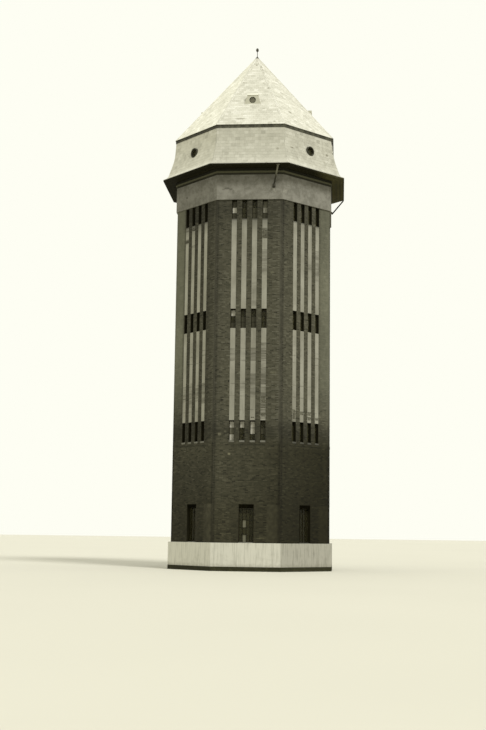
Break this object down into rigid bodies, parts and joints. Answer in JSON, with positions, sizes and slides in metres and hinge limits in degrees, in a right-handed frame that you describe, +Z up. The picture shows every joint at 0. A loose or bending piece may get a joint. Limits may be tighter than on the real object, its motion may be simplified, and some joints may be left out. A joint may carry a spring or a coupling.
{
  "type": "octagonal brick water tower",
  "caption": "Tall eight-sided brick water tower with slit windows in plastered strips, a flared overhanging tank house with portholes and a pyramid roof.",
  "frame": {"origin": "centre of the footprint at ground level", "axes": "+Z up the tower, -Y out of the front face, +X to the right of that face"},
  "size_m": [13.2, 13.2, 39.25],
  "materials": {
    "tarred_masonry": "tarred brick footing, matt and stained",
    "limewashed_masonry": "streaky limewash on smooth masonry",
    "brick": "dark weathered brick with flush mortar joints",
    "plaster": "coarse light plaster with dirt runs",
    "frieze_render": "grey cement render, stained and finely cracked",
    "soffit_boards": "dark stained boards",
    "tank_house_slates": "small off-white fibre-cement slates",
    "roof_slates": "small pale fibre-cement slates",
    "dark_metal": "dark painted sheet metal, weathered",
    "ironwork": "dark painted ironwork, slightly rusty",
    "window_glass": "dirty glass over a dark room",
    "concrete": "plain cast floor"
  },
  "bodies": {
    "root": {"base_course": "tarred_masonry", "plinth": "limewashed_masonry", "ground_floor": "concrete", "brick_facing_front": "brick", "brick_facing_front_right": "brick", "brick_facing_right": "brick", "brick_facing_back_right": "brick", "brick_facing_back": "brick", "brick_facing_back_left": "brick", "brick_facing_left": "brick", "brick_facing_front_left": "brick", "infill_wall_front": "plaster", "infill_wall_front_right": "plaster", "infill_wall_right": "plaster", "infill_wall_back_right": "plaster", "infill_wall_back": "plaster", "infill_wall_back_left": "plaster", "infill_wall_left": "plaster", "infill_wall_front_left": "plaster", "glazing_ground": "window_glass", "glazing_low": "window_glass", "glazing_middle": "window_glass", "glazing_top": "window_glass", "landing_low": "concrete", "landing_middle": "concrete", "landing_top": "concrete", "frieze": "frieze_render", "cornice": "frieze_render", "soffit": "soffit_boards", "tank_floor": "concrete", "drum": "tank_house_slates", "porthole_front_right": "dark_metal", "porthole_back_right": "dark_metal", "porthole_back_left": "dark_metal", "porthole_front_left": "dark_metal", "eave_fascia": "dark_metal", "roof": "roof_slates", "roof_cap": "dark_metal", "finial": "ironwork", "dormer_front": "tank_house_slates", "dormer_right": "tank_house_slates", "dormer_back": "tank_house_slates", "dormer_left": "tank_house_slates", "wire_bracket": "ironwork", "corner_stay": "ironwork"}
  },
  "joints": []
}
